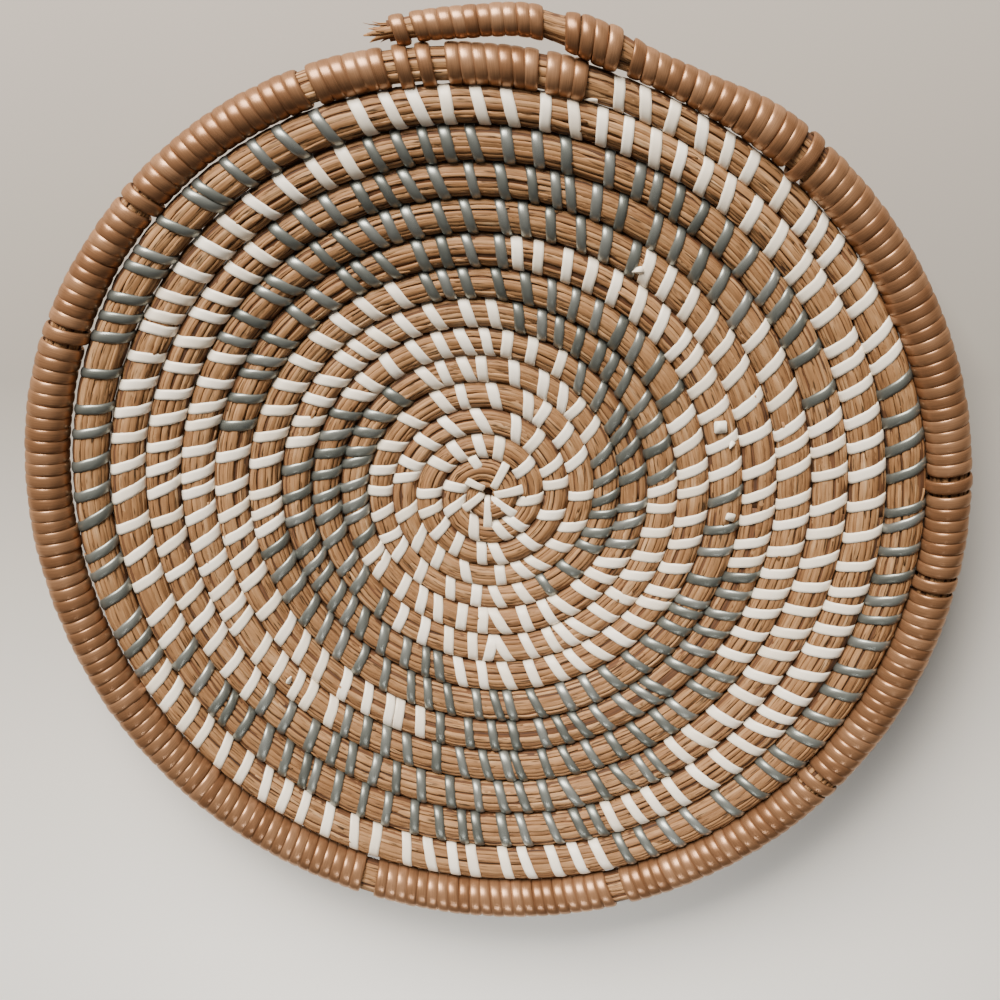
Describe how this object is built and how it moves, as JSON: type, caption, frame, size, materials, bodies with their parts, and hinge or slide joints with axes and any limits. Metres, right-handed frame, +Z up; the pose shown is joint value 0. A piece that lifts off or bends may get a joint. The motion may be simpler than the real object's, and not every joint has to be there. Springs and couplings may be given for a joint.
{
  "type": "coiled basket",
  "caption": "Shallow round dish wound from one grass bundle, with a flat base and a rim bound in strip, for holding fruit, bread or small things.",
  "frame": {"origin": "on the ground under the middle of the basket's box", "axes": "+Z up out of the dish, +Y towards the loose end of the rim, +X to the right of it"},
  "size_m": [0.3794, 0.3828, 0.0434],
  "materials": {
    "dried_grass": "dry, matt",
    "bronze_strip": "pearlescent"
  },
  "bodies": {
    "root": {"grass_coil": "dried_grass", "rim_binding_01": "bronze_strip", "rim_binding_02": "bronze_strip", "rim_binding_03": "bronze_strip", "rim_binding_04": "bronze_strip", "rim_binding_05": "bronze_strip", "rim_binding_06": "bronze_strip", "rim_binding_07": "bronze_strip", "rim_binding_08": "bronze_strip", "rim_binding_09": "bronze_strip", "rim_binding_10": "bronze_strip", "rim_binding_11": "bronze_strip", "rim_binding_12": "bronze_strip", "rim_binding_13": "bronze_strip", "rim_binding_14": "bronze_strip", "rim_binding_15": "bronze_strip", "rim_binding_16": "bronze_strip", "rim_binding_17": "bronze_strip", "rim_binding_18": "bronze_strip", "rim_wrap_01": "bronze_strip", "rim_wrap_02": "bronze_strip", "rim_wrap_03": "bronze_strip", "rim_wrap_04": "bronze_strip", "rim_wrap_05": "bronze_strip", "rim_wrap_06": "bronze_strip", "rim_wrap_07": "bronze_strip", "rim_wrap_08": "bronze_strip", "rim_wrap_09": "bronze_strip", "rim_wrap_10": "bronze_strip", "rim_wrap_11": "bronze_strip", "rim_wrap_12": "bronze_strip", "rim_wrap_13": "bronze_strip", "tail_blade_1": "dried_grass", "tail_blade_2": "dried_grass", "tail_blade_3": "dried_grass", "tail_blade_4": "dried_grass", "tail_blade_5": "dried_grass"}
  },
  "joints": []
}
